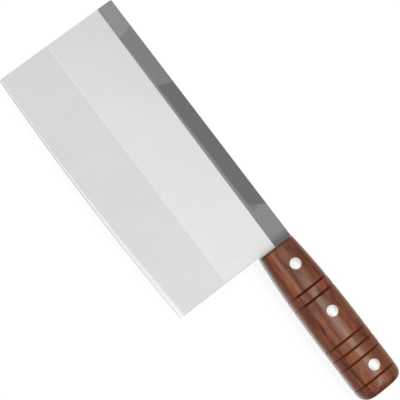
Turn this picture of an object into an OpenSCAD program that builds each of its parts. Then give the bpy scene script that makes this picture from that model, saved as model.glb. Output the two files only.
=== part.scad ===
// Chinese cleaver: a broad rectangular blade with a full tang, two wooden
// handle scales with saw-cut grooves, and three two-part rivets.
// The knife is drawn with its front edge at x = 0, its spine at y = 0 and the
// middle of the steel at z = 0, and placed() then lays it on its side.

/* [Blade] */
// Length of the cutting edge, from the front corner to the heel
blade_l = 190.8; // [150:0.1:240]
// Height of the blade along its front edge
front_h = 90.2; // [65:0.1:120]
// Height of the blade at its heel
heel_h = 90.4; // [65:0.1:120]
// How far the heel leans forward between the spine and the cutting edge
heel_lean = 0.2; // [0:0.1:6]
// How far the middle of the cutting edge swells past a straight line
belly = 2.4; // [1:0.1:8]
// Thickness of the steel at the spine and through the tang
steel_t = 2.2; // [1.6:0.1:4]
// Width of the bevels that ease the two long edges of the spine
spine_ease = 0.2; // [0.1:0.05:0.5]
// Radius of the front corner at the spine
spine_corner_r = 1.2; // [0.5:0.1:6]
// Radius of the front corner at the cutting edge
edge_corner_r = 0.8; // [0.3:0.1:4]
// Radius of the fillet between the heel and the tang
heel_fillet_r = 1.6; // [0.5:0.1:4]

/* [Grind] */
// Height of the unground band below the spine, at the front edge
band_front_h = 11.4; // [6:0.1:25]
// Height of the unground band below the spine, at the heel
band_heel_h = 13; // [6:0.1:25]
// Drop from the spine to the line between the two ground faces, at the front
waist_front_h = 52.8; // [35:0.1:60]
// Drop from the spine to the line between the two ground faces, at the heel
waist_heel_h = 53.5; // [35:0.1:60]
// Thickness at the line between the two ground faces
waist_t = 1.4; // [1.1:0.05:1.5]
// Thickness at the cutting edge before it is sharpened, at the front
edge_front_t = 0.5; // [0.4:0.05:0.8]
// Thickness at the cutting edge before it is sharpened, at the heel
edge_heel_t = 0.9; // [0.6:0.05:1]
// Width of the sharpened bevel at the heel, with the honed strip
bevel_w = 2.2; // [1.2:0.1:3]
// Width of the honed strip along the very edge
hone_w = 0.4; // [0.2:0.05:0.8]
// Thickness where the honed strip begins
hone_t = 0.3; // [0.2:0.05:0.4]
// Flat left on the very edge
edge_land = 0.06; // [0.04:0.02:0.12]

/* [Handle] */
// Length of the handle
grip_l = 116; // [104:0.1:135]
// Gap between the heel line and the front end of the handle
grip_gap = 0.9; // [0.2:0.1:2]
// Drop from the spine to the centre line of the handle
grip_drop = 13; // [10:0.1:25]
// Width of the handle at its front end
grip_front_w = 25.7; // [22:0.1:32]
// Width of the handle where it is widest
grip_rear_w = 32.3; // [26:0.1:38]
// Distance from the front end at which the handle reaches its full width
swell_l = 92; // [60:1:100]
// Power of the curve that the handle's sides swell by
swell_power = 3.2; // [1.5:0.1:5]
// Thickness of one scale at the front end, measured on its crown
scale_front_t = 8.6; // [7:0.1:12]
// Thickness of one scale where the handle is widest
scale_rear_t = 9.4; // [7:0.1:13]
// Power of the rounded cross section, where 2 is an ellipse
section_power = 2.8; // [2:0.1:5]
// Radius that eases the front end of the handle
arris_r = 1; // [0.3:0.1:2]

/* [Butt] */
// Length over which the sides round off to the butt
butt_l = 22; // [12:0.5:26]
// Length over which the crown rounds off to the butt
butt_crown_l = 9; // [5:0.5:20]
// Power along the handle of the rounding of its sides
butt_fullness = 8; // [3:0.5:12]
// Power across the handle of the rounding of its sides
butt_corner = 3.4; // [2:0.1:6]
// Power along the handle of the rounding of its crown
crown_fullness = 3; // [2:0.5:6]
// Power across the handle of the rounding of its crown
crown_corner = 2.4; // [2:0.1:5]

/* [Grooves] */
// Width of a saw-cut groove
groove_w = 1.25; // [0.8:0.05:2]
// Depth of a groove at the crown of a scale
groove_d = 0.9; // [0.3:0.1:2]
// Depth of a groove at the sides of the handle
groove_side_d = 0.3; // [0.2:0.1:1.5]
// Distance from the handle's front end to the first of the front pair
pair_x = 33.8; // [28:0.1:38]
// Distance between the two grooves of the front pair
pair_pitch = 7.6; // [4:0.1:8]
// Distance from the handle's butt back to the last of the rear three
trio_back = 26.2; // [25:0.1:32]
// Distance from one groove to the next among the rear three
trio_pitch = 7.7; // [4:0.1:8]
// Distance from the handle's butt back to the last groove
last_groove = 10.6; // [7:0.1:12]

/* [Rivets] */
// Distance from the handle's front end to the front rivet
front_rivet_x = 16; // [10:0.1:22]
// Distance from the handle's front end to the middle rivet
middle_rivet_x = 54.5; // [50:0.1:60]
// Distance from the handle's butt back to the rear rivet
rear_rivet_back = 17.8; // [17:0.1:19]
// Distance of the front rivet from the handle's centre line, towards the spine
front_rivet_rise = 2.1; // [-3:0.1:3]
// Distance of the rear rivet from the handle's centre line, towards the spine
rear_rivet_rise = 2.8; // [-4:0.1:4]
// Diameter of a rivet head
head_d = 7.7; // [6:0.1:10]
// Thickness of a rivet head below its dome
head_t = 2.2; // [1.2:0.1:3.5]
// Height of the dome on a rivet head
head_dome = 0.4; // [0.2:0.05:0.8]
// How far the rim of a head lies below the crown of the wood
head_sink = 0.15; // [0:0.05:0.4]
// Outside diameter of a rivet tube
tube_d = 4.8; // [4:0.1:5.6]
// Diameter of a rivet post
post_d = 3.2; // [2.4:0.1:3.4]
// Gap left between the end of a tube or post and the head that it meets
rivet_end_gap = 0.3; // [0.1:0.1:1]
// Clearance all round between a post and its tube
post_clear = 0.02; // [0.01:0.01:0.1]
// Clearance all round between a tube and the hole that it passes through
tube_clear = 0.1; // [0.05:0.05:0.3]
// Clearance all round between a head and its counterbore
head_clear = 0.08; // [0.04:0.02:0.3]

/* [Hidden] */

steel_colour = [0.80, 0.80, 0.79];
wood_colour = [0.45, 0.26, 0.20];
rivet_colour = [0.90, 0.90, 0.88];

// Sides of a round hole or pin, and of the very large arc of the edge
round_fn = 96;
edge_fn = 1800;
// Overshoot of a cutting shape past the face that it cuts
over = 1;
// Steps along the ground faces of the blade
ground_steps = 10;
// Stations along the handle, and steps round its cross section
station_step = 4;
arris_steps = 4;
butt_steps = 12;
section_steps = 28;
// Share of the full width at which the rounding of the butt ends in a flat
butt_flat = 0.3;

// Cutting edge: an arc through its two corners that swells by the belly
chord = [blade_l, front_h - heel_h];
chord_l = norm(chord);
edge_r = (chord_l * chord_l / 4 + belly * belly) / (2 * belly);
edge_c = [chord.x / 2 - chord.y / chord_l * (edge_r - belly),
    -(front_h + heel_h) / 2 + chord.x / chord_l * (edge_r - belly)];
function edge_y(x) = edge_c.y - sqrt(edge_r * edge_r - pow(x - edge_c.x, 2));
blade_h = edge_c.x > 0 && edge_c.x < blade_l ? edge_r - edge_c.y : max(front_h, heel_h);

// Ground faces: a flat band, then two flat faces that thin the blade in turn
deep = blade_h + over;
upper_slope = (steel_t - waist_t) / 2 / (waist_heel_h - band_heel_h);
function along(x, from, to) = from + (to - from) * x / blade_l;
function band_h(x) = along(x, band_front_h, band_heel_h);
function waist_h(x) = along(x, waist_front_h, waist_heel_h);
function waist_z(x) = steel_t / 2 - upper_slope * (waist_h(x) - band_h(x));
function lower_z(x, h) = waist_z(x) + (along(x, edge_front_t, edge_heel_t) / 2 - waist_z(x))
    * (h - waist_h(x)) / (along(x, front_h, heel_h) - waist_h(x));
function ground_half(x) = [
    [x, 0, steel_t / 2 - spine_ease],
    [x, -spine_ease, steel_t / 2],
    [x, -band_h(x), steel_t / 2],
    [x, -waist_h(x), waist_z(x)],
    [x, -deep, lower_z(x, deep)]];
function ground_section(x) = let (half = ground_half(x), last = len(half) - 1)
    concat(half, [for (i = [last : -1 : 0]) [half[i].x, half[i].y, -half[i].z]]);

// Heel: a line that leans forward from the spine to the cutting edge
function heel_x(y) = blade_l + heel_lean * (1 + y / heel_h);

// Handle: its sides swell towards the rear and round off at both ends
grip_x = heel_x(-2 * grip_drop) + grip_gap;
butt_end = pow(1 - pow(butt_flat, butt_corner), 1 / butt_fullness);
function swell(x) = pow(max(0, 1 - x / swell_l), swell_power);
function arris(x) = x < arris_r ? arris_r - sqrt(arris_r * arris_r - pow(arris_r - x, 2)) : 0;
function butt(x, reach, lengthways, crossways) =
    pow(1 - pow(max(0, 1 - (grip_l - x) / reach) * butt_end, lengthways), 1 / crossways);
function half_w(x) = (grip_rear_w - (grip_rear_w - grip_front_w) * swell(x)) / 2
    * butt(x, butt_l, butt_fullness, butt_corner) - arris(x);
function crown_t(x) = (scale_rear_t - (scale_rear_t - scale_front_t) * swell(x))
    * butt(x, butt_crown_l, crown_fullness, crown_corner) - arris(x);
// Thickness of a scale at x along the handle and at off from its centre line
function scale_t(x, off) = crown_t(x)
    * pow(1 - pow(abs(off) / half_w(x), section_power), 1 / section_power);

// Grooves, and the lands of wood between them
trio_x = grip_l - trio_back - 2 * trio_pitch;
groove_x = [pair_x, pair_x + pair_pitch,
    trio_x, trio_x + trio_pitch, trio_x + 2 * trio_pitch, grip_l - last_groove];
grooves = len(groove_x);
function groove_from(i) = groove_x[i] - groove_w / 2;
function groove_to(i) = groove_x[i] + groove_w / 2;
function spread(a, b) = let (n = max(2, ceil((b - a) / station_step)))
    [for (i = [0 : n]) a + (b - a) * i / n];
function front_land() = concat(
    [for (i = [0 : arris_steps - 1]) arris_r * (1 - cos(90 * i / arris_steps))],
    spread(arris_r, groove_from(0)));
function butt_land() = let (a = groove_to(grooves - 1))
    [for (i = [0 : butt_steps]) a + (grip_l - a) * sin(90 * i / butt_steps)];
lands = [for (i = [0 : grooves])
    i == 0 ? front_land()
    : i == grooves ? butt_land()
    : spread(groove_to(i - 1), groove_from(i))];
stations = [for (land = lands) each land];

// One D-shaped ring of the scale, drawn in by the groove where cut is 1
function rounded(s) = sign(s) * pow(abs(s), 2 / section_power);
function ring(x, cut) = [for (i = [0 : section_steps]) let (a = 180 * i / section_steps)
    [grip_x + x,
        -grip_drop + (half_w(x) - cut * groove_side_d) * rounded(cos(a)),
        steel_t / 2 + (crown_t(x) - cut * groove_d) * rounded(sin(a))]];
rings = [for (i = [0 : grooves]) each concat(
    [for (x = lands[i]) ring(x, 0)],
    i < grooves ? [ring(groove_from(i), 1), ring(groove_to(i), 1)] : [])];
function land_start(i) = i == 0 ? 0 : land_start(i - 1) + len(lands[i - 1]) + 2;

// Rivets: their places, and the height of the rim of their heads
rear_rivet_x = grip_l - rear_rivet_back;
rivet_x = [front_rivet_x, middle_rivet_x, rear_rivet_x];
function rivet_rise(x) = front_rivet_rise + (rear_rivet_rise - front_rivet_rise)
    * (x - front_rivet_x) / (rear_rivet_x - front_rivet_x);
function rim_z(x) = steel_t / 2 + scale_t(x, rivet_rise(x)) - head_sink;
function seat_z(x) = rim_z(x) - head_t;

// Extent of the whole knife, which places it on its rest plane
knife_l = grip_x + grip_l;
grip_top = max([for (x = stations) half_w(x)]) - grip_drop;
knife_top = max(0, grip_top);
knife_half_t = max(concat(
    [for (x = stations) steel_t / 2 + crown_t(x)],
    [for (x = rivet_x) rim_z(x) + head_dome]));

// Lays the knife on its side with its origin under the middle of its box
module placed() {
    translate([-knife_l / 2, (blade_h - knife_top) / 2, knife_half_t]) children();
}

// Outer corner piece that a radius takes away, in the quarter x < r, y > -r
module corner_waste(r) {
    difference() {
        translate([-over, -r]) square([r + over, r + over]);
        translate([r, -r]) circle(r, $fn = round_fn);
    }
}

// Flat outline of the blade, left long past the spine and the cutting edge
module blade_outline() {
    root_x = grip_x + 2 * arris_r;
    root_y = -grip_drop - half_w(heel_x(-2 * grip_drop) + heel_fillet_r - grip_x);
    difference() {
        union() {
            polygon([[0, over], [root_x, over], [root_x, root_y], [heel_x(root_y), root_y],
                [heel_x(-deep), -deep], [0, -deep]]);
            difference() {
                translate([heel_x(root_y) - over, root_y - heel_fillet_r])
                    square([heel_fillet_r + over, heel_fillet_r + over]);
                translate([heel_x(root_y) + heel_fillet_r, root_y - heel_fillet_r])
                    circle(heel_fillet_r, $fn = round_fn);
            }
        }
        corner_waste(spine_corner_r);
        translate([0, edge_y(edge_corner_r)]) mirror([0, 1]) corner_waste(edge_corner_r);
    }
}

// Body that the grinding leaves: spine, flat band, upper face and lower face
module ground_body() {
    from = -over;
    to = grip_x + 3 * arris_r;
    sections = [for (k = [0 : ground_steps]) ground_section(from + (to - from) * k / ground_steps)];
    n = len(sections[0]);
    polyhedron(
        points = [for (section = sections) each section],
        faces = concat(
            [[for (i = [0 : n - 1]) i]],
            [[for (i = [n - 1 : -1 : 0]) ground_steps * n + i]],
            [for (k = [0 : ground_steps - 1]) for (i = [0 : n - 1])
                [k * n + (i + 1) % n, k * n + i, (k + 1) * n + i, (k + 1) * n + (i + 1) % n]]));
}

// Disc whose rim carries the cutting edge, its bevels and its honed strips
module edge_disc() {
    bevel_slope = (edge_heel_t - hone_t) / 2 / (bevel_w - hone_w);
    shoulder_r = edge_r - hone_w - (steel_t - hone_t / 2) / bevel_slope;
    half = [[0, steel_t], [shoulder_r, steel_t], [edge_r - hone_w, hone_t / 2], [edge_r, edge_land / 2]];
    last = len(half) - 1;
    translate([edge_c.x, edge_c.y, 0])
        rotate_extrude($fn = edge_fn)
            polygon(concat(half, [for (i = [last : -1 : 0]) [half[i].x, -half[i].y]]));
}

// Full tang, flush with the outline of the handle all round
module tang() {
    side = [for (x = stations) [grip_x + x, half_w(x)]];
    last = len(side) - 1;
    translate([0, -grip_drop, -steel_t / 2])
        linear_extrude(steel_t)
            polygon(concat(side, [for (i = [last : -1 : 0]) [side[i].x, -side[i].y]]));
}

module blade() {
    color(steel_colour)
    placed()
    difference() {
        union() {
            intersection() {
                translate([0, 0, -steel_t]) linear_extrude(2 * steel_t) blade_outline();
                ground_body();
                edge_disc();
            }
            tang();
        }
        for (x = rivet_x)
            translate([grip_x + x, rivet_rise(x) - grip_drop, -steel_t])
                cylinder(d = tube_d + 2 * tube_clear, h = 2 * steel_t, $fn = round_fn);
    }
}

// Solid wood of one scale with its grooves, before it is bored: two ends, the
// skin from ring to ring, and the flat side that lies on the tang, in strips.
// A strip beside a groove also turns at the two ends of the groove's ring.
module scale_wood() {
    n = section_steps + 1;
    last = len(rings) - 1;
    function upper(k) = k * n;
    function lower(k) = k * n + n - 1;
    function strip_after(k) = [upper(k + 1), upper(k), upper(k - 1), lower(k - 1), lower(k), lower(k + 1)];
    function strip(k) = [upper(k), lower(k), lower(k + 1), upper(k + 1)];
    function strip_before(k) = [upper(k), lower(k), lower(k + 1), lower(k + 2), upper(k + 2), upper(k + 1)];
    polyhedron(
        points = [for (r = rings) each r],
        faces = concat(
            [[for (i = [n - 1 : -1 : 0]) i]],
            [[for (i = [0 : n - 1]) last * n + i]],
            [for (k = [0 : last - 1]) for (i = [0 : n - 2])
                [k * n + i, k * n + i + 1, (k + 1) * n + i + 1, (k + 1) * n + i]],
            [for (i = [0 : grooves]) let (from = land_start(i), to = from + len(lands[i]) - 1) each concat(
                [for (k = [from : to - 1])
                    k == from && i > 0 ? strip_after(k)
                    : k == to - 1 && i < grooves ? strip_before(k)
                    : strip(k)],
                i < grooves ? [strip(to + 1)] : [])]));
}

// One scale, bored for the rivet tubes and counterbored for the heads
module handle_scale() {
    difference() {
        scale_wood();
        for (x = rivet_x)
            translate([grip_x + x, rivet_rise(x) - grip_drop, 0]) {
                cylinder(d = tube_d + 2 * tube_clear, h = knife_half_t + over, $fn = round_fn);
                translate([0, 0, seat_z(x)])
                    cylinder(d = head_d + 2 * head_clear, h = knife_half_t + over, $fn = round_fn);
            }
    }
}

module left_scale() {
    color(wood_colour) placed() handle_scale();
}

module right_scale() {
    color(wood_colour) placed() mirror([0, 0, 1]) handle_scale();
}

// Head of a rivet, seated in its counterbore, with a low dome
module rivet_head(x) {
    dome_r = (head_d * head_d / 4 + head_dome * head_dome) / (2 * head_dome);
    translate([0, 0, seat_z(x)])
        intersection() {
            cylinder(d = head_d, h = head_t + head_dome, $fn = round_fn);
            translate([0, 0, head_t + head_dome - dome_r]) sphere(dome_r, $fn = 2 * round_fn);
        }
}

// Rivet half with the solid post, driven in from the left side
module rivet_post(x) {
    color(rivet_colour)
    placed()
    translate([grip_x + x, rivet_rise(x) - grip_drop, 0]) {
        rivet_head(x);
        translate([0, 0, rivet_end_gap - seat_z(x)])
            cylinder(d = post_d, h = 2 * seat_z(x) - rivet_end_gap + head_t / 2, $fn = round_fn);
    }
}

// Rivet half with the hollow tube that grips the post, from the right side
module rivet_tube(x) {
    color(rivet_colour)
    placed()
    translate([grip_x + x, rivet_rise(x) - grip_drop, 0])
        difference() {
            union() {
                mirror([0, 0, 1]) rivet_head(x);
                translate([0, 0, -seat_z(x) - head_t / 2])
                    cylinder(d = tube_d, h = 2 * seat_z(x) - rivet_end_gap + head_t / 2, $fn = round_fn);
            }
            translate([0, 0, -seat_z(x)])
                cylinder(d = post_d + 2 * post_clear, h = 2 * seat_z(x), $fn = round_fn);
        }
}

blade();
left_scale();
right_scale();
rivet_post(front_rivet_x);  // front_rivet_post
rivet_post(middle_rivet_x);  // middle_rivet_post
rivet_post(rear_rivet_x);  // rear_rivet_post
rivet_tube(front_rivet_x);  // front_rivet_tube
rivet_tube(middle_rivet_x);  // middle_rivet_tube
rivet_tube(rear_rivet_x);  // rear_rivet_tube
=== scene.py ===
import math

import bmesh
import bpy
from mathutils import Matrix, Vector


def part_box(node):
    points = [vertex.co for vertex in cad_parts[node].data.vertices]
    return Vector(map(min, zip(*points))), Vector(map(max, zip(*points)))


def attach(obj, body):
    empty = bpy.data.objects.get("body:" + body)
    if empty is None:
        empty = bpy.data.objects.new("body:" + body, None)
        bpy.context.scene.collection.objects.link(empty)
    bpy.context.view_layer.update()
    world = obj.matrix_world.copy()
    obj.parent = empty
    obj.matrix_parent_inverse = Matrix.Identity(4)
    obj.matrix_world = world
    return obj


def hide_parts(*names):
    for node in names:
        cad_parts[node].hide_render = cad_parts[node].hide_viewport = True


# Chinese cleaver: satin ground blade with a smooth band along the spine,
# grooved wooden scales and domed rivets. Lengths are in metres where no comment says
# millimetres.

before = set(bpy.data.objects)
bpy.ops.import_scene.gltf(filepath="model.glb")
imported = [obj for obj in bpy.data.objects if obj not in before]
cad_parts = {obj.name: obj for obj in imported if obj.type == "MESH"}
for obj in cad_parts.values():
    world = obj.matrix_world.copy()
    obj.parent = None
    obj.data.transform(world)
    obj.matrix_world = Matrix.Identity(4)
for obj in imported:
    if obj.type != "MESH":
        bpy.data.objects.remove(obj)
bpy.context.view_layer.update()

MM = 0.001

# The knife in the frame
FRONT_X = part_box("blade")[0].x
STEEL_LOW, STEEL_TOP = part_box("blade")[0].z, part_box("blade")[1].z
STEEL_MIDDLE = (STEEL_LOW + STEEL_TOP) / 2
GRIP_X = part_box("left_scale")[0].x
BLADE_H = 92.70 * MM
SPINE_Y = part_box("blade")[0].y + BLADE_H
GRIP_Y = SPINE_Y - 13.0 * MM
HEEL_X = FRONT_X + 190.8 * MM
HEEL_TOP_Y = SPINE_Y - 28.0 * MM

# Ground faces: drops from the spine at the front and at the heel
BAND_DROP = (11.4 * MM, 13.0 * MM)
WAIST_DROP = (52.8 * MM, 53.5 * MM)
WAIST_SLOPE = (WAIST_DROP[0] - WAIST_DROP[1]) / (HEEL_X - FRONT_X)

# The sharpened bevel's upper border bows down to its lowest point
BEVEL_LOW = (85.4 * MM, 91.20 * MM)
BEVEL_BOW = 0.278

# Flatness is how far a face's normal points across the steel, from 0 to 1. Below these
# values a face is a square edge, the honed strip or the sharpened bevel.
SQUARE_EDGE = 0.9
HONED = 0.975
SHARPENED = 0.998

# Grooves, as distances from the front end of the handle
GROOVE_W = 1.25 * MM
FRONT_GROOVES = (33.8 * MM, 41.4 * MM)
REAR_GROOVES = (74.4 * MM, 82.1 * MM, 89.8 * MM, 105.4 * MM)


# Node helpers: each takes the node tree first, and a value is a socket or a number
def link(tree, value, socket):
    """Joins a socket to another, or sets it to a plain value."""
    if isinstance(value, bpy.types.NodeSocket):
        tree.links.new(value, socket)
    else:
        socket.default_value = value


def add(tree, kind, *values, **settings):
    """A new node with its settings, and its first inputs in order; None leaves one as it is."""
    made = tree.nodes.new("ShaderNode" + kind)
    for name, value in settings.items():
        setattr(made, name, value)
    for socket, value in zip(made.inputs, values):
        if value is not None:
            link(tree, value, socket)
    return made


def math_node(tree, operation, a, b=0.0, clamp=False):
    return add(tree, "Math", a, b, operation=operation, use_clamp=clamp).outputs[0]


def plus(tree, a, b):
    return math_node(tree, "ADD", a, b)


def minus(tree, a, b, clamp=False):
    return math_node(tree, "SUBTRACT", a, b, clamp)


def times(tree, *values):
    product = values[0]
    for value in values[1:]:
        product = math_node(tree, "MULTIPLY", product, value)
    return product


def larger(tree, a, b):
    return math_node(tree, "MAXIMUM", a, b)


def distance(tree, a, b):
    return math_node(tree, "ABSOLUTE", minus(tree, a, b))


def millimetres(tree, value, start):
    """How far a coordinate lies past a start, in millimetres."""
    return math_node(tree, "DIVIDE", minus(tree, value, start), MM)


def remap(tree, value, low, high, to_low, to_high, shape="LINEAR"):
    """Value from one range to another, held at its ends."""
    made = add(tree, "MapRange", value, low, high, to_low, to_high, interpolation_type=shape)
    return made.outputs[0]


def new_material(name):
    """A material with one Principled shader on its surface."""
    made = bpy.data.materials.new(name)
    made.use_nodes = True
    tree = made.node_tree
    tree.nodes.clear()
    shader = add(tree, "BsdfPrincipled")
    tree.links.new(shader.outputs[0], add(tree, "OutputMaterial").inputs["Surface"])
    return made, tree, shader


def object_place(tree, scale=(1, 1, 1)):
    """Object coordinates, which are the frame's own, scaled."""
    place = add(tree, "TexCoord").outputs["Object"]
    mapping = add(tree, "Mapping", place, vector_type="POINT")
    mapping.inputs["Scale"].default_value = scale
    return mapping.outputs[0]


def axes(tree):
    """The three object coordinates as separate sockets."""
    split = add(tree, "SeparateXYZ", add(tree, "TexCoord").outputs["Object"])
    return split.outputs[0], split.outputs[1], split.outputs[2]


def noise(tree, place, scale, detail=3.0, roughness=0.5, distortion=0.0):
    made = add(tree, "TexNoise", place)
    made.inputs["Scale"].default_value = scale
    made.inputs["Detail"].default_value = detail
    made.inputs["Roughness"].default_value = roughness
    made.inputs["Distortion"].default_value = distortion
    return made.outputs[0]


def spread(tree, value, to_low, to_high):
    """The middle of a noise's range, where nearly all of it lies, drawn out to new ends."""
    return remap(tree, value, 0.3, 0.7, to_low, to_high)


def ramp(tree, value, stops):
    """Colours along a value from 0 to 1."""
    made = add(tree, "ValToRGB", value)
    elements = made.color_ramp.elements
    while len(elements) < len(stops):
        elements.new(0.5)
    for element, (place, colour) in zip(elements, stops):
        element.position = place
        element.color = (*colour, 1)
    return made.outputs[0]


def blend(tree, share, a, b, kind="MIX"):
    """Colour a turned into colour b by a share from 0 to 1."""
    made = add(tree, "Mix", data_type="RGBA", blend_type=kind)
    link(tree, share, made.inputs[0])
    for value, socket in ((a, made.inputs[6]), (b, made.inputs[7])):
        link(tree, (*value, 1) if isinstance(value, tuple) and len(value) == 3 else value, socket)
    return made.outputs[2]


def bump(tree, height, strength, depth):
    made = add(tree, "Bump")
    made.inputs["Strength"].default_value = strength
    made.inputs["Distance"].default_value = depth
    tree.links.new(height, made.inputs["Height"])
    return made.outputs[0]


# Steel: fine grinding lines run from the spine to the cutting edge
LINE_PITCH = 0.35 * MM
LINE_LENGTH = 22 * MM
LINE_DEPTH = 0.02 * MM


def grinding_lines(tree):
    place = object_place(tree, (1 / LINE_PITCH, 1 / LINE_LENGTH, 1 / LINE_LENGTH))
    return noise(tree, place, 1.0, 4.0, 0.6)


def satin_steel(name, colour, roughness, own_tone):
    """Ground steel; own_tone gives a further tone from the piece's own coordinates, which paints
    light and shade onto the steel.
    """
    made, tree, shader = new_material(name)
    lines = grinding_lines(tree)
    cloud = noise(tree, object_place(tree), 28.0, 2.0)
    line_tone = spread(tree, lines, 0.986, 1.014)
    cloud_tone = spread(tree, cloud, 0.985, 1.015)
    tone = times(tree, line_tone, cloud_tone, own_tone(tree, *axes(tree)))
    grey = add(tree, "CombineColor", tone, tone, tone).outputs[0]
    link(tree, blend(tree, 1.0, colour, grey, "MULTIPLY"), shader.inputs["Base Color"])
    dullness = spread(tree, lines, roughness - 0.04, roughness + 0.04)
    link(tree, dullness, shader.inputs["Roughness"])
    link(tree, bump(tree, lines, 0.05, LINE_DEPTH), shader.inputs["Normal"])
    shader.inputs["Metallic"].default_value = 1.0
    return made


def from_front(reach):
    """The place along the blade that is so many millimetres behind its front edge."""
    return FRONT_X + reach * MM


def heel_shade_line(tree, x, y):
    """A thin line of painted shade along the heel, where the ground face ends in a square edge.
    """
    line = remap(tree, x, HEEL_X - 0.55 * MM, HEEL_X - 0.15 * MM, 0.0, 0.25)
    below = remap(tree, y, HEEL_TOP_Y, HEEL_TOP_Y + 1.0 * MM, 1.0, 0.0)
    return minus(tree, 1.0, times(tree, line, below))


def upper_tone(tree, x, y, z):
    """The heel's line of painted shade, and a painted highlight along the soft ridge at the
    face's lower border, mostly near the front."""
    fall = times(tree, minus(tree, x, FRONT_X), WAIST_SLOPE)
    off = distance(tree, y, plus(tree, SPINE_Y - WAIST_DROP[0], fall))
    near = remap(tree, off, 0.4 * MM, 1.6 * MM, 0.04, 0.0)
    glint = times(tree, near, remap(tree, x, from_front(30), from_front(90), 1.0, 0.3))
    return times(tree, heel_shade_line(tree, x, y), plus(tree, 1.0, glint))


def lower_tone(tree, x, y, z):
    """The heel's line of painted shade, painted light that makes the front slightly brighter, and
    a painted highlight that rises softly into the bevel and gets wider and stronger towards the
    heel."""
    behind = minus(tree, x, FRONT_X + BEVEL_LOW[0])
    bow = times(tree, behind, behind, BEVEL_BOW)
    above = minus(tree, minus(tree, y, SPINE_Y - BEVEL_LOW[1]), bow)
    width = remap(tree, x, from_front(60), from_front(165), 0.4 * MM, 1.9 * MM)
    near = minus(tree, 1.0, math_node(tree, "DIVIDE", above, width), clamp=True)
    height = remap(tree, x, from_front(40), from_front(165), 0.05, 0.20)
    rise = plus(tree, 1.0, times(tree, near, height))
    front = remap(tree, x, from_front(15), from_front(75), 1.025, 0.985)
    return times(tree, heel_shade_line(tree, x, y), rise, front)


def bevel_tone(tree, x, y, z):
    """Painted light: the sharpened bevel gets brighter towards the heel, and most of all near its
    end.
    """
    even = remap(tree, x, from_front(60), from_front(165), 0.87, 0.94)
    return plus(tree, even, remap(tree, x, from_front(160), HEEL_X, 0.0, 0.12))


def hone_tone(tree, x, y, z):
    """Painted light: the honed strip gets brighter towards the heel."""
    return remap(tree, x, from_front(20), HEEL_X, 0.55, 1.0)


def wall_tone(tree, x, y, z):
    """Painted light and shade: square edges are painted lit in their upper half and dark below
    it, and the spine's eased edge is painted as dark as the band beside it."""
    lit = remap(tree, z, STEEL_MIDDLE - 0.1 * MM, STEEL_MIDDLE + 0.3 * MM, 0.03, 1.15)
    at_spine = remap(tree, y, SPINE_Y - 0.35 * MM, SPINE_Y - 0.25 * MM, 0.0, 0.75)
    at_top = remap(tree, z, STEEL_TOP - 0.25 * MM, STEEL_TOP - 0.18 * MM, 0.0, 1.0)
    return times(tree, lit, minus(tree, 1.0, times(tree, at_spine, at_top)))


def band_steel():
    """Smooth unground steel, left dull where the scales cover it and painted dark there, as
    painted shade where it shows through the grooves.
    """
    made, tree, shader = new_material("smooth_band_steel")
    painted_shade_under_scales = remap(tree, axes(tree)[0], GRIP_X + 1.0 * MM, GRIP_X + 1.5 * MM, 0.0, 1.0)
    colour = blend(tree, painted_shade_under_scales, (0.59, 0.59, 0.59), (0.07, 0.06, 0.055))
    cloud = noise(tree, object_place(tree), 90.0, 3.0)
    dullness = larger(tree, spread(tree, cloud, 0.015, 0.025), times(tree, painted_shade_under_scales, 0.6))
    link(tree, colour, shader.inputs["Base Color"])
    link(tree, dullness, shader.inputs["Roughness"])
    shader.inputs["Metallic"].default_value = 1.0
    return made


# Wood: fine grain everywhere, the strongest streaks drawn on the left scale, some of them painted
# sheen and painted shade, and saw cuts that are darker and duller than the lacquered face. Each
# streak has its half width, its strength and points along it, given as distances from the
# handle's front end and from its centre line towards the spine, in millimetres.
DARK_STREAKS = (
    (1.3, 0.65, ((1.0, -1.8), (3.4, 2.8), (8.2, 6.6), (14.6, 8.4))),
    (0.8, 1.00, ((5.0, 7.0), (9.9, 9.0), (16.4, 9.6), (35.2, 10.4))),
    (3.0, 0.45, ((1.5, 8.0), (12.0, 7.6), (24.0, 7.0), (34.0, 7.2))),
    (0.7, 1.00, ((40.5, 10.1), (44.8, 9.5), (49.3, 8.6), (58.0, 9.2))),
    (0.6, 0.95, ((41.8, 9.4), (47.3, 7.3), (54.5, 5.8))),
    (1.1, 0.75, (
        (1.0, -4.5), (14.5, -4.5), (15.5, -3.3), (30.0, -4.2), (40.0, -3.3), (53.5, -2.9))),
    (2.2, 0.55, ((39.5, 1.0), (47.0, 0.2), (55.0, 1.0))),
    (0.9, 1.00, ((79.5, -12.6), (91.8, -11.6), (105.7, -10.4), (116.0, -8.2))),
    (2.6, 0.40, ((103.0, -12.6), (110.0, -11.6), (118.0, -9.6))),
    (0.6, 0.90, ((74.5, 10.3), (79.0, 9.9), (84.5, 9.4))),
    (0.6, 0.60, ((55.0, -9.8), (66.0, -10.6), (75.0, -10.2))),
    # Painted shade: a broad dark band along the lower side near the front.
    (2.4, 0.45, ((-3.0, -11.8), (12.0, -12.0), (30.0, -12.8))),
)
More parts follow.
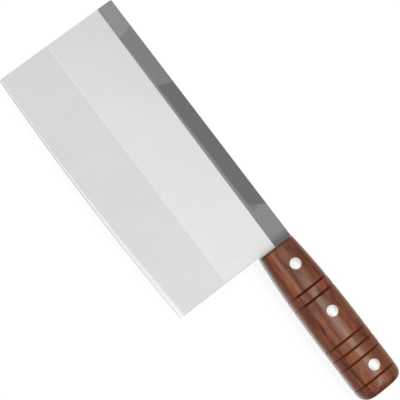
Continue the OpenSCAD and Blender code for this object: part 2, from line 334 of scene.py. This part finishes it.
# Pale streaks: those at and above the centre line are painted sheen, namely along the crest, the
# patch at the butt and the thin one along the spine-side rim; those 6 to 8 mm below it are pale
# grain with some painted sheen, and the rest are pale grain.
SHEEN_AND_PALE_STREAKS = (
    (2.4, 0.60, ((0.0, -7.0), (14.0, -7.1), (36.5, -7.6))),
    (0.6, 0.80, ((14.5, -6.6), (20.0, -6.3), (32.0, -7.2))),
    (1.8, 0.60, ((47.0, -6.2), (60.0, -7.2), (77.0, -6.6))),
    (0.9, 0.85, ((88.0, -6.0), (98.3, -7.7), (103.5, -8.6), (111.0, -6.9))),
    (3.2, 0.50, ((104.5, 3.4), (116.5, 2.6))),
    (2.4, 0.35, ((-2.0, 1.0), (8.0, 1.0), (19.0, 0.4))),
    (2.4, 0.60, ((17.0, 3.2), (27.0, 3.6), (38.0, 3.4))),
    (3.6, 0.50, ((41.0, 0.0), (60.0, 0.2), (84.0, 0.6))),
    (1.8, 0.40, ((50.0, -3.2), (64.0, -3.4), (80.0, -3.2))),
    (2.8, 0.85, ((72.0, -5.6), (84.0, -6.4), (100.0, -5.8))),
    (7.0, 0.45, ((76.0, 1.5), (93.0, 1.5), (112.0, 2.0))),
    (2.2, 0.40, ((52.0, 12.8), (72.0, 13.4), (112.0, 13.6))),
)

# In millimetres too: the handle's length, how far the streaks' curves run along it and
# to either side of the centre line, the longest fade at a streak's ends, and how far
# below the centre line the line lies that the grooves' fades are measured from
GRIP_LENGTH = 116.0
STREAK_SPAN = 120.0
STREAK_REACH = 16.0
STREAK_FADE = 4.0
FADE_LINE = 0.4

# Heartwood colours, from the darkest part of a growth ring to the palest
HEARTWOOD = (
    (0.0, (0.092, 0.017, 0.005)),
    (0.3, (0.138, 0.029, 0.009)),
    (0.5, (0.184, 0.042, 0.013)),
    (0.75, (0.238, 0.063, 0.022)),
    (1.0, (0.315, 0.096, 0.038)),
)
# Dark grain, also painted shade at the handle's ends and in one streak; pale grain, also painted
# sheen
DARK_GRAIN_AND_SHADE = (0.048, 0.010, 0.004)
PALE_GRAIN_AND_SHEEN = (0.330, 0.115, 0.040)
FRONT_CUT = (0.095, 0.020, 0.010)
REAR_CUT = (0.140, 0.032, 0.011)


def slot_mask(tree, along, centres, half):
    """1 inside any of the slots across the handle, 0 outside; half is their half width."""
    nearest = None
    for centre in centres:
        off = distance(tree, along, centre / MM)
        nearest = off if nearest is None else math_node(tree, "MINIMUM", nearest, off)
    return remap(tree, minus(tree, nearest, half), -0.14, 0.14, 1.0, 0.0)


def streak_middle(tree, share, points):
    """How far a streak's middle lies from the centre line, at a share of the span."""
    made = add(tree, "FloatCurve", 1.0, share)
    curve = made.mapping.curves[0]
    spots = [(a / STREAK_SPAN, 0.5 + b / (2 * STREAK_REACH)) for a, b in points]
    curve.points[0].location = spots[0]
    curve.points[1].location = spots[-1]
    for spot in spots[1:-1]:
        curve.points.new(*spot)
    made.mapping.update()
    return remap(tree, made.outputs[0], 0.0, 1.0, -STREAK_REACH, STREAK_REACH)


def streak_mask(tree, along, across, streaks):
    """How strongly any of the drawn streaks shows, fading to 0 at its sides and ends."""
    share = math_node(tree, "DIVIDE", along, STREAK_SPAN)
    total = None
    for half, strength, points in streaks:
        off = distance(tree, across, streak_middle(tree, share, points))
        start, end = points[0][0], points[-1][0]
        fade = min(STREAK_FADE, (end - start) / 3)
        opening = remap(tree, along, start, start + fade, 0.0, strength)
        closing = remap(tree, along, end - fade, end, 1.0, 0.0)
        side = remap(tree, off, 0.0, half * 1.6, 1.0, 0.0, "SMOOTHSTEP")
        shown = times(tree, side, times(tree, opening, closing))
        total = shown if total is None else larger(tree, total, shown)
    return total


def grain(tree, place, length, width, detail, distortion=0.0):
    """Noise drawn out along the handle; a streak's length and width are in millimetres."""
    size = (1 / length, 1 / width, 1 / width)
    scaled = add(tree, "VectorMath", place, size, operation="MULTIPLY").outputs[0]
    return noise(tree, scaled, 1.0, detail, 0.55, distortion)


def centred(tree, value, gain):
    """A noise value about its middle, times a gain."""
    return times(tree, minus(tree, value, 0.5), gain)


def saw_cuts(tree, along, straight):
    """Where the front and the rear grooves are, narrower and fainter down the handle's sides."""
    off_middle = math_node(tree, "ABSOLUTE", plus(tree, straight, FADE_LINE))
    flank = minus(tree, off_middle, FADE_LINE)
    half = remap(tree, flank, 10.0, 13.0, GROOVE_W / MM / 2 + 0.20, 0.25)
    side_fade = remap(tree, straight, -13.0, 13.0, 0.1, 0.5)
    front_fade = remap(tree, flank, 9.0, 12.5, 1.0, side_fade)
    rear_fade = remap(tree, flank, 11.5, 14.5, 1.0, 0.6)
    front_cuts = times(tree, slot_mask(tree, along, FRONT_GROOVES, half), front_fade)
    rear_cuts = times(tree, slot_mask(tree, along, REAR_GROOVES, half), rear_fade)
    return front_cuts, rear_cuts


def wood():
    """Lacquered wood whose grain runs through the scale and sways a little, with some painted
    sheen and painted shade.
    """
    made, tree, shader = new_material("lacquered_wood")
    x, y, z = axes(tree)
    along = millimetres(tree, x, GRIP_X)
    straight = millimetres(tree, y, GRIP_Y)
    height = millimetres(tree, z, STEEL_MIDDLE)
    level_place = add(tree, "CombineXYZ", along, straight, height).outputs[0]
    sway = grain(tree, level_place, 45.0, 16.0, 2.0)
    ripple = grain(tree, level_place, 9.0, 3.0, 1.0)
    drift = plus(tree, centred(tree, sway, 7.0), centred(tree, ripple, 1.6))
    across = plus(tree, straight, drift)
    place = add(tree, "CombineXYZ", along, across, plus(tree, height, drift)).outputs[0]
    figure = grain(tree, place, 15.0, 1.3, 3.0, 0.3)
    bands = grain(tree, place, 60.0, 6.0, 2.0)
    fibre = grain(tree, place, 5.0, 0.22, 2.0)
    veins = remap(tree, grain(tree, place, 24.0, 1.0, 2.0), 0.58, 0.72, 0.0, 0.55)
    tones = plus(tree, centred(tree, figure, 2.0), centred(tree, bands, 1.2))
    tone = plus(tree, 0.5, plus(tree, tones, centred(tree, fibre, 0.35)))
    colour = blend(tree, veins, ramp(tree, tone, HEARTWOOD), DARK_GRAIN_AND_SHADE)

    # The drawn streaks: pale grain with painted sheen, and dark grain with painted shade
    left = remap(tree, height, -0.5, 0.5, 0.0, 1.0)
    wavy = plus(tree, straight, centred(tree, ripple, 2.2))
    pale = times(tree, left, streak_mask(tree, along, wavy, SHEEN_AND_PALE_STREAKS))
    dark = times(tree, left, streak_mask(tree, along, wavy, DARK_STREAKS))
    mottle = spread(tree, figure, 0.6, 1.0)
    colour = blend(tree, times(tree, pale, mottle), colour, PALE_GRAIN_AND_SHEEN)
    colour = blend(tree, times(tree, dark, mottle), colour, DARK_GRAIN_AND_SHADE)

    # Painted shade: the wood darkens over its first two millimetres at the front end and over its
    # last few at the butt
    front_end = remap(tree, along, 0.5, 2.0, 0.8, 0.0)
    butt_end = remap(tree, along, GRIP_LENGTH - 4.5, GRIP_LENGTH - 2.0, 0.0, 1.0)
    colour = blend(tree, front_end, colour, DARK_GRAIN_AND_SHADE)
    colour = blend(tree, times(tree, butt_end, 0.45), colour, DARK_GRAIN_AND_SHADE)
    front_cuts, rear_cuts = saw_cuts(tree, along, straight)
    colour = blend(tree, front_cuts, colour, FRONT_CUT)
    colour = blend(tree, rear_cuts, colour, REAR_CUT)

    cuts = larger(tree, front_cuts, rear_cuts)
    dull = larger(tree, cuts, butt_end)
    coat = times(tree, minus(tree, 1.0, dull), 0.75)
    link(tree, colour, shader.inputs["Base Color"])
    link(tree, remap(tree, cuts, 0.0, 1.0, 0.36, 0.8), shader.inputs["Roughness"])
    link(tree, remap(tree, dull, 0.0, 1.0, 0.15, 0.02), shader.inputs["Specular IOR Level"])
    link(tree, coat, shader.inputs["Coat Weight"])
    shader.inputs["Coat Roughness"].default_value = 0.14
    link(tree, bump(tree, fibre, 0.15, 0.05 * MM), shader.inputs["Normal"])
    link(tree, bump(tree, figure, 0.2, 0.03 * MM), shader.inputs["Coat Normal"])
    return made


def rivet_metal():
    """Bright metal with a soft shine."""
    made, tree, shader = new_material("polished_rivets")
    swirl = noise(tree, object_place(tree), 900.0, 2.0)
    link(tree, spread(tree, swirl, 0.35, 0.41), shader.inputs["Roughness"])
    shader.inputs["Base Color"].default_value = (0.90, 0.882, 0.855, 1)
    shader.inputs["Metallic"].default_value = 1.0
    return made


# The blade's finishes in the order of its material slots, and those of the handle
STEELS = (
    satin_steel("satin_steel_upper", (0.80, 0.793, 0.788), 0.45, upper_tone),
    satin_steel("satin_steel_lower", (0.745, 0.731, 0.723), 0.45, lower_tone),
    band_steel(),
    satin_steel("sharpened_steel", (0.92, 0.915, 0.90), 0.34, bevel_tone),
    satin_steel("honed_steel", (0.95, 0.95, 0.94), 0.50, hone_tone),
    satin_steel("edge_ground_steel", (0.70, 0.66, 0.63), 0.35, wall_tone),
)
UPPER, LOWER, BAND, BEVEL, STRIP, WALL = range(6)
WOOD = wood()
RIVET = rivet_metal()


def drop_at(drops, x):
    """A border's drop from the spine at x, between its drops at the front and at the heel."""
    share = (x - FRONT_X) / (HEEL_X - FRONT_X)
    return drops[0] + (drops[1] - drops[0]) * share


def steel_for(face):
    """Which finish a face of the blade has, by its tilt and its place."""
    centre = face.calc_center_median()
    flatness = abs(face.normal.z)
    drop = SPINE_Y - centre.y
    if flatness < SQUARE_EDGE:
        return WALL
    if flatness < HONED:
        return STRIP
    if flatness < SHARPENED:
        return BEVEL
    if centre.x > GRIP_X or drop < drop_at(BAND_DROP, centre.x):
        return BAND
    return UPPER if drop < drop_at(WAIST_DROP, centre.x) else LOWER


def closed_copy(node, name, slots, choice, angle):
    """The node's mesh as one closed skin, smooth except at a change of finish or a turn
    over the angle, which is in degrees."""
    bm = bmesh.new()
    bm.from_mesh(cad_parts[node].data)
    bmesh.ops.remove_doubles(bm, verts=bm.verts, dist=1e-7)
    for face in bm.faces:
        face.material_index = choice(face)
        face.smooth = True
    bmesh.ops.dissolve_limit(
        bm, angle_limit=math.radians(0.02), verts=bm.verts, edges=bm.edges, delimit={"MATERIAL"})
    for edge in bm.edges:
        one, other = edge.link_faces
        alike = one.material_index == other.material_index
        edge.smooth = alike and edge.calc_face_angle() < math.radians(angle)
    mesh = bpy.data.meshes.new(name)
    bm.to_mesh(mesh)
    bm.free()
    for slot in slots:
        mesh.materials.append(slot)
    piece = bpy.data.objects.new(name, mesh)
    bpy.context.scene.collection.objects.link(piece)
    return piece


def settle(piece, node):
    """Puts a piece on the knife in place of its node."""
    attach(piece, "root")
    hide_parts(node)


def one_finish(face):
    return 0


def finish_blade():
    piece = closed_copy("blade", "ground_blade", STEELS, steel_for, 5)
    settle(piece, "blade")


def finish_scale(side):
    node = f"{side}_scale"
    piece = closed_copy(node, f"{side}_wooden_scale", (WOOD,), one_finish, 30)
    settle(piece, node)


def finish_rivet(place, half):
    node = f"{place}_rivet_{half}"
    piece = closed_copy(node, f"{place}_domed_{half}", (RIVET,), one_finish, 30)
    settle(piece, node)


finish_blade()
for side in ("left", "right"):
    finish_scale(side)
for place in ("front", "middle", "rear"):
    for half in ("post", "tube"):
        finish_rivet(place, half)

# Camera: 12 degrees from square on, leaning towards the cutting edge, with the
# handle running down to the right
LOOK_AT = Vector((-0.01566, 0.01132, 0.01073))
CAMERA_DISTANCE = 1.1
CAMERA_LEAN = math.radians(12)
CAMERA_ROLL = math.radians(52.66)
CAMERA_LENS = 153.55


def photo_camera():
    back = Vector((0, -math.sin(CAMERA_LEAN), math.cos(CAMERA_LEAN)))
    level = Vector((0, math.cos(CAMERA_LEAN), math.sin(CAMERA_LEAN)))
    along = Vector((1, 0, 0))
    right = along * math.cos(CAMERA_ROLL) + level * math.sin(CAMERA_ROLL)
    up = level * math.cos(CAMERA_ROLL) - along * math.sin(CAMERA_ROLL)
    data = bpy.data.cameras.new("photo_camera")
    data.lens = CAMERA_LENS
    data.sensor_width = 36
    data.clip_start = 0.01
    data.clip_end = 50
    camera = bpy.data.objects.new("photo_camera", data)
    turned = Matrix((right, up, back)).transposed().to_4x4()
    turned.translation = LOOK_AT + back * CAMERA_DISTANCE
    camera.matrix_world = turned
    bpy.context.scene.collection.objects.link(camera)
    bpy.context.scene.camera = camera
    return camera


CAMERA = photo_camera()

# Studio: a white floor that keeps the shadow, an even white room, two soft strips
# above, and grey cards that only reflections show
ROOM_LEVEL = 0.80
MIRRORED_ROOM = 0.5
FLOOR_SIZE = 6.0
FLOOR_MATT = (0.22, 0.22, 0.22, 1)
FLOOR_GLOW = 0.83
WHITE = (1, 1, 1, 1)


def shown_to_eye(tree):
    """1 for rays that show a surface directly, by reflection or through glass, else 0."""
    path = add(tree, "LightPath")
    eye = larger(tree, path.outputs["Is Camera Ray"], path.outputs["Is Glossy Ray"])
    return larger(tree, eye, path.outputs["Is Transmission Ray"])


def blank_material(name):
    """A material whose surface is still to be joined, with its output socket."""
    made = bpy.data.materials.new(name)
    made.use_nodes = True
    tree = made.node_tree
    tree.nodes.clear()
    return made, tree, add(tree, "OutputMaterial").inputs["Surface"]


def studio_piece(name, bm, material):
    """A piece of the studio from a bmesh."""
    mesh = bpy.data.meshes.new(name)
    bm.to_mesh(mesh)
    bm.free()
    mesh.materials.append(material)
    piece = bpy.data.objects.new(name, mesh)
    bpy.context.scene.collection.objects.link(piece)
    return piece


def pale_floor():
    made, tree, surface = blank_material("white_floor")
    matt = add(tree, "BsdfDiffuse", FLOOR_MATT)
    glow = add(tree, "Emission", WHITE, times(tree, shown_to_eye(tree), FLOOR_GLOW))
    both = add(tree, "AddShader", matt.outputs[0], glow.outputs[0])
    tree.links.new(both.outputs[0], surface)
    bm = bmesh.new()
    bmesh.ops.create_grid(bm, x_segments=1, y_segments=1, size=FLOOR_SIZE)
    floor = studio_piece("floor", bm, made)


def white_room():
    """Plain white to the eye, at its own level as a light, and dimmer in reflections."""
    world = bpy.data.worlds.new("white_room")
    world.use_nodes = True
    tree = world.node_tree
    tree.nodes.clear()
    path = add(tree, "LightPath")
    seen = larger(tree, path.outputs["Is Camera Ray"], path.outputs["Is Transmission Ray"])
    dimmed = times(tree, path.outputs["Is Glossy Ray"], ROOM_LEVEL - MIRRORED_ROOM)
    strength = minus(tree, remap(tree, seen, 0.0, 1.0, ROOM_LEVEL, 1.0), dimmed)
    light = add(tree, "Background", WHITE, strength)
    tree.links.new(light.outputs[0], add(tree, "OutputWorld").inputs["Surface"])
    bpy.context.scene.world = world


def strip_lamp(name, place, size, brightness):
    """A soft strip along the knife that gives off an even brightness and faces the knife."""
    data = bpy.data.lights.new(name, "AREA")
    data.shape = "RECTANGLE"
    data.size, data.size_y = size
    data.energy = brightness * math.pi * size[0] * size[1]
    lamp = bpy.data.objects.new(name, data)
    lamp.location = place
    lamp.rotation_euler = (-math.atan2(place[1], place[2]), 0, 0)
    bpy.context.scene.collection.objects.link(lamp)


# Cards: their corners are given by where the camera sees them in the band, as
# distances from the front edge and drops from the spine, in millimetres. A card's
# layer is how many millimetres it hangs above the height that all of them share.
CARD_HEIGHT = 0.5


def behind_band(along, drop, height):
    """The point at a height that the camera sees mirrored at a place on the band."""
    eye = CAMERA.matrix_world.translation
    mirrored = Vector((eye.x, eye.y, 2 * STEEL_TOP - eye.z))
    seen = Vector((from_front(along), SPINE_Y - drop * MM, STEEL_TOP))
    return mirrored + (seen - mirrored) * (height - mirrored.z) / (seen.z - mirrored.z)


def grey_card(name, brightness, corners, layer, far_brightness=None):
    """A card lit to a plain grey, which only mirrors see; a second grey turns it into
    a ramp between its first two corners."""
    height = CARD_HEIGHT + layer * MM
    spots = [behind_band(along, drop, height) for along, drop in corners]
    made, tree, surface = blank_material(name)
    shade = (*brightness, 1)
    if far_brightness:
        share = remap(tree, axes(tree)[0], spots[0].x, spots[1].x, 0.0, 1.0)
        shade = blend(tree, share, brightness, far_brightness)
    glow = add(tree, "Emission", shade, 1.0)
    tree.links.new(glow.outputs[0], surface)
    made.cycles.emission_sampling = "NONE"
    bm = bmesh.new()
    bm.faces.new([bm.verts.new(spot) for spot in spots])
    card = studio_piece(name, bm, made)
    card.visible_camera = False
    card.visible_diffuse = False
    card.visible_shadow = False


pale_floor()
white_room()
strip_lamp("far_strip", (0.50, 0.335, 1.3), (1.7, 0.10), 5.25)
strip_lamp("near_strip", (-0.20, -0.18, 1.3), (0.8, 0.34), 1.3)
grey_card("long_card", (0.43, 0.43, 0.43), (
    (-14, -8), (210, -8), (210, 22), (-14, 22)), 6)
grey_card("front_card", (0.45, 0.45, 0.45), (
    (-14, -6), (19.5, -6), (24.3, 14.5), (-14, 14.5)), 4)
grey_card("middle_card", (0.35, 0.35, 0.35), (
    (19.5, -6), (70, -6), (62.9, 10.3), (38, 10.3), (23.6, 11.6)), 2)
grey_card("dark_card", (0.252, 0.248, 0.246), (
    (68.8, -6), (169.7, -6), (163.0, 5.3), (159.4, 10.5), (62.8, 10.5)), 0)
grey_card("corner_card", (0.33, 0.32, 0.32), (
    (163.0, 5.3), (166.2, 10.5), (159.4, 10.5)), -1)
grey_card("heel_card", (0.41, 0.41, 0.41), (
    (169.7, -6), (208, -6), (208, 14.5), (168.7, 14.5), (163.0, 5.3)), -2)
grey_card("end_card", (0.41, 0.41, 0.41), (
    (185.0, -6), (191.5, -6), (191.5, 22), (185.0, 22)), -4, (0.17, 0.16, 0.155))

view = bpy.context.scene.view_settings
view.view_transform = "Standard"
